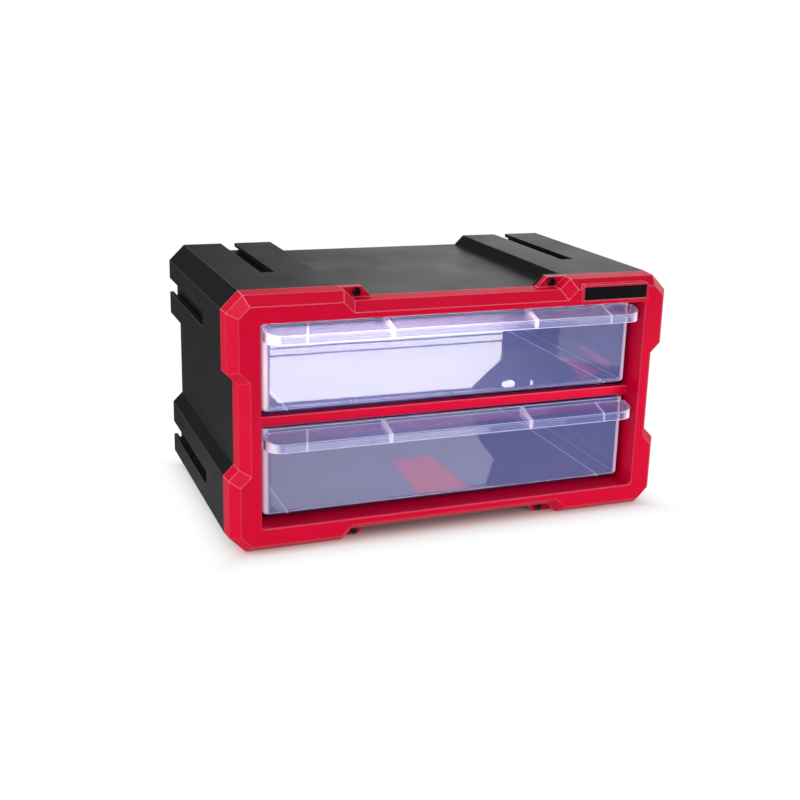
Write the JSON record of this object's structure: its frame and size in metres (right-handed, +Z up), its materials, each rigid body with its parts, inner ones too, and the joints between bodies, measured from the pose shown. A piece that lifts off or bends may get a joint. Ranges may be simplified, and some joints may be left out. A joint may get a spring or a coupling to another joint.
{
  "type": "modular drawer unit",
  "caption": "Modular drawer unit: black casing with slotted corner rails, a red chamfered front bezel and clear pull-out drawers with full-width lips.",
  "frame": {"origin": "under the middle of the unit's bounding box, on the surface that the unit stands on", "axes": "+X to the right seen from the front, +Y to the rear, +Z up; the drawers open towards -Y"},
  "size_m": [0.382, 0.236, 0.208],
  "materials": {
    "casing": "satin",
    "bezel": "satin",
    "plate": "satin",
    "screws": "black oxide",
    "runner": "satin",
    "drawer": "clear moulded polycarbonate with a violet tinge"
  },
  "bodies": {
    "cabinet": {"top_right_rail": "casing", "top_left_rail": "casing", "bottom_right_rail": "casing", "bottom_left_rail": "casing", "top_panel": "casing", "bottom_panel": "casing", "right_panel": "casing", "left_panel": "casing", "back_panel": "casing", "front_bezel": "bezel", "crossbar": "bezel", "name_plate": "plate", "bezel_screws": "screws", "lower_right_runner": "runner", "lower_left_runner": "runner", "upper_right_runner": "runner", "upper_left_runner": "runner", "runner_screws": "screws"},
    "lower_drawer": {"lower_drawer": "drawer"},
    "upper_drawer": {"upper_drawer": "drawer"}
  },
  "joints": [
    {"name": "lower_drawer_slide", "type": "slide", "parent": "cabinet", "child": "lower_drawer", "axis": [0, -1, 0], "range_m": [0, 0.165]},
    {"name": "upper_drawer_slide", "type": "slide", "parent": "cabinet", "child": "upper_drawer", "axis": [0, -1, 0], "range_m": [0, 0.165]}
  ]
}
